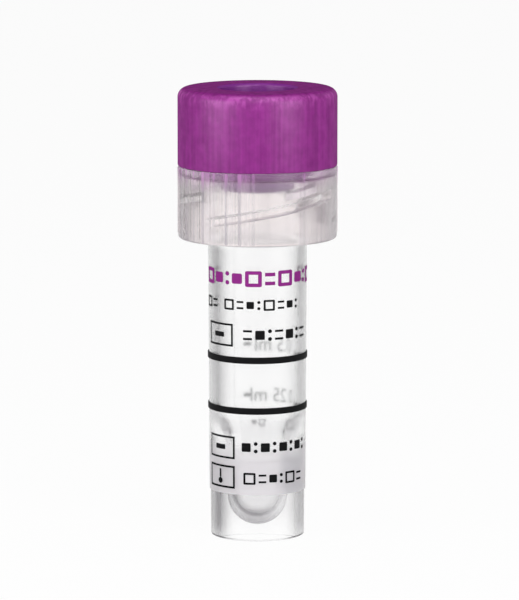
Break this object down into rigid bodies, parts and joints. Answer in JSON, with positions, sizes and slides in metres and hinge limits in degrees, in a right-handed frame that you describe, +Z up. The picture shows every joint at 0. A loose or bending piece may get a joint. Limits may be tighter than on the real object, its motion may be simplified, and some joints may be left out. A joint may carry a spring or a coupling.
{
  "type": "blood collection tube",
  "caption": "Small clear round-bottom blood tube with an open skirt foot, wrap label, black fill lines and a purple screw cap with a clear threaded ring and needle well.",
  "frame": {"origin": "centre of the circle that the skirt stands on", "axes": "+Z up along the tube's axis towards the cap; -Y is the front, where the fill lines and the print are"},
  "size_m": [0.016, 0.016, 0.0453],
  "materials": {
    "clear_plastic": "clear moulded polypropylene",
    "label_film": "thin clear film",
    "black_ink": "thick printed ink",
    "frosted_plastic": "natural, slightly frosted moulding",
    "purple_plastic": "fine satin moulding",
    "purple_rubber": "soft satin elastomer"
  },
  "bodies": {
    "tube": {"tube": "clear_plastic", "label": "label_film", "fill_line_upper": "black_ink", "fill_line_lower": "black_ink"},
    "stopper": {"stopper": "purple_rubber"},
    "cap": {"thread_ring": "frosted_plastic", "cap_cover": "purple_plastic"}
  },
  "joints": [
    {"name": "cap_lift", "type": "slide", "parent": "tube", "child": "stopper", "axis": [0, 0, 1], "range_m": [0, 0.0098]},
    {"name": "cap_twist", "type": "hinge", "parent": "stopper", "child": "cap", "pos_m": [0, 0, 0.0375], "axis": [0, 0, 1], "range_deg": [0, 450]}
  ],
  "couplings": [
    {"joint": "cap_lift", "follows": "cap_twist", "m_per_rad": 0.0012414}
  ]
}
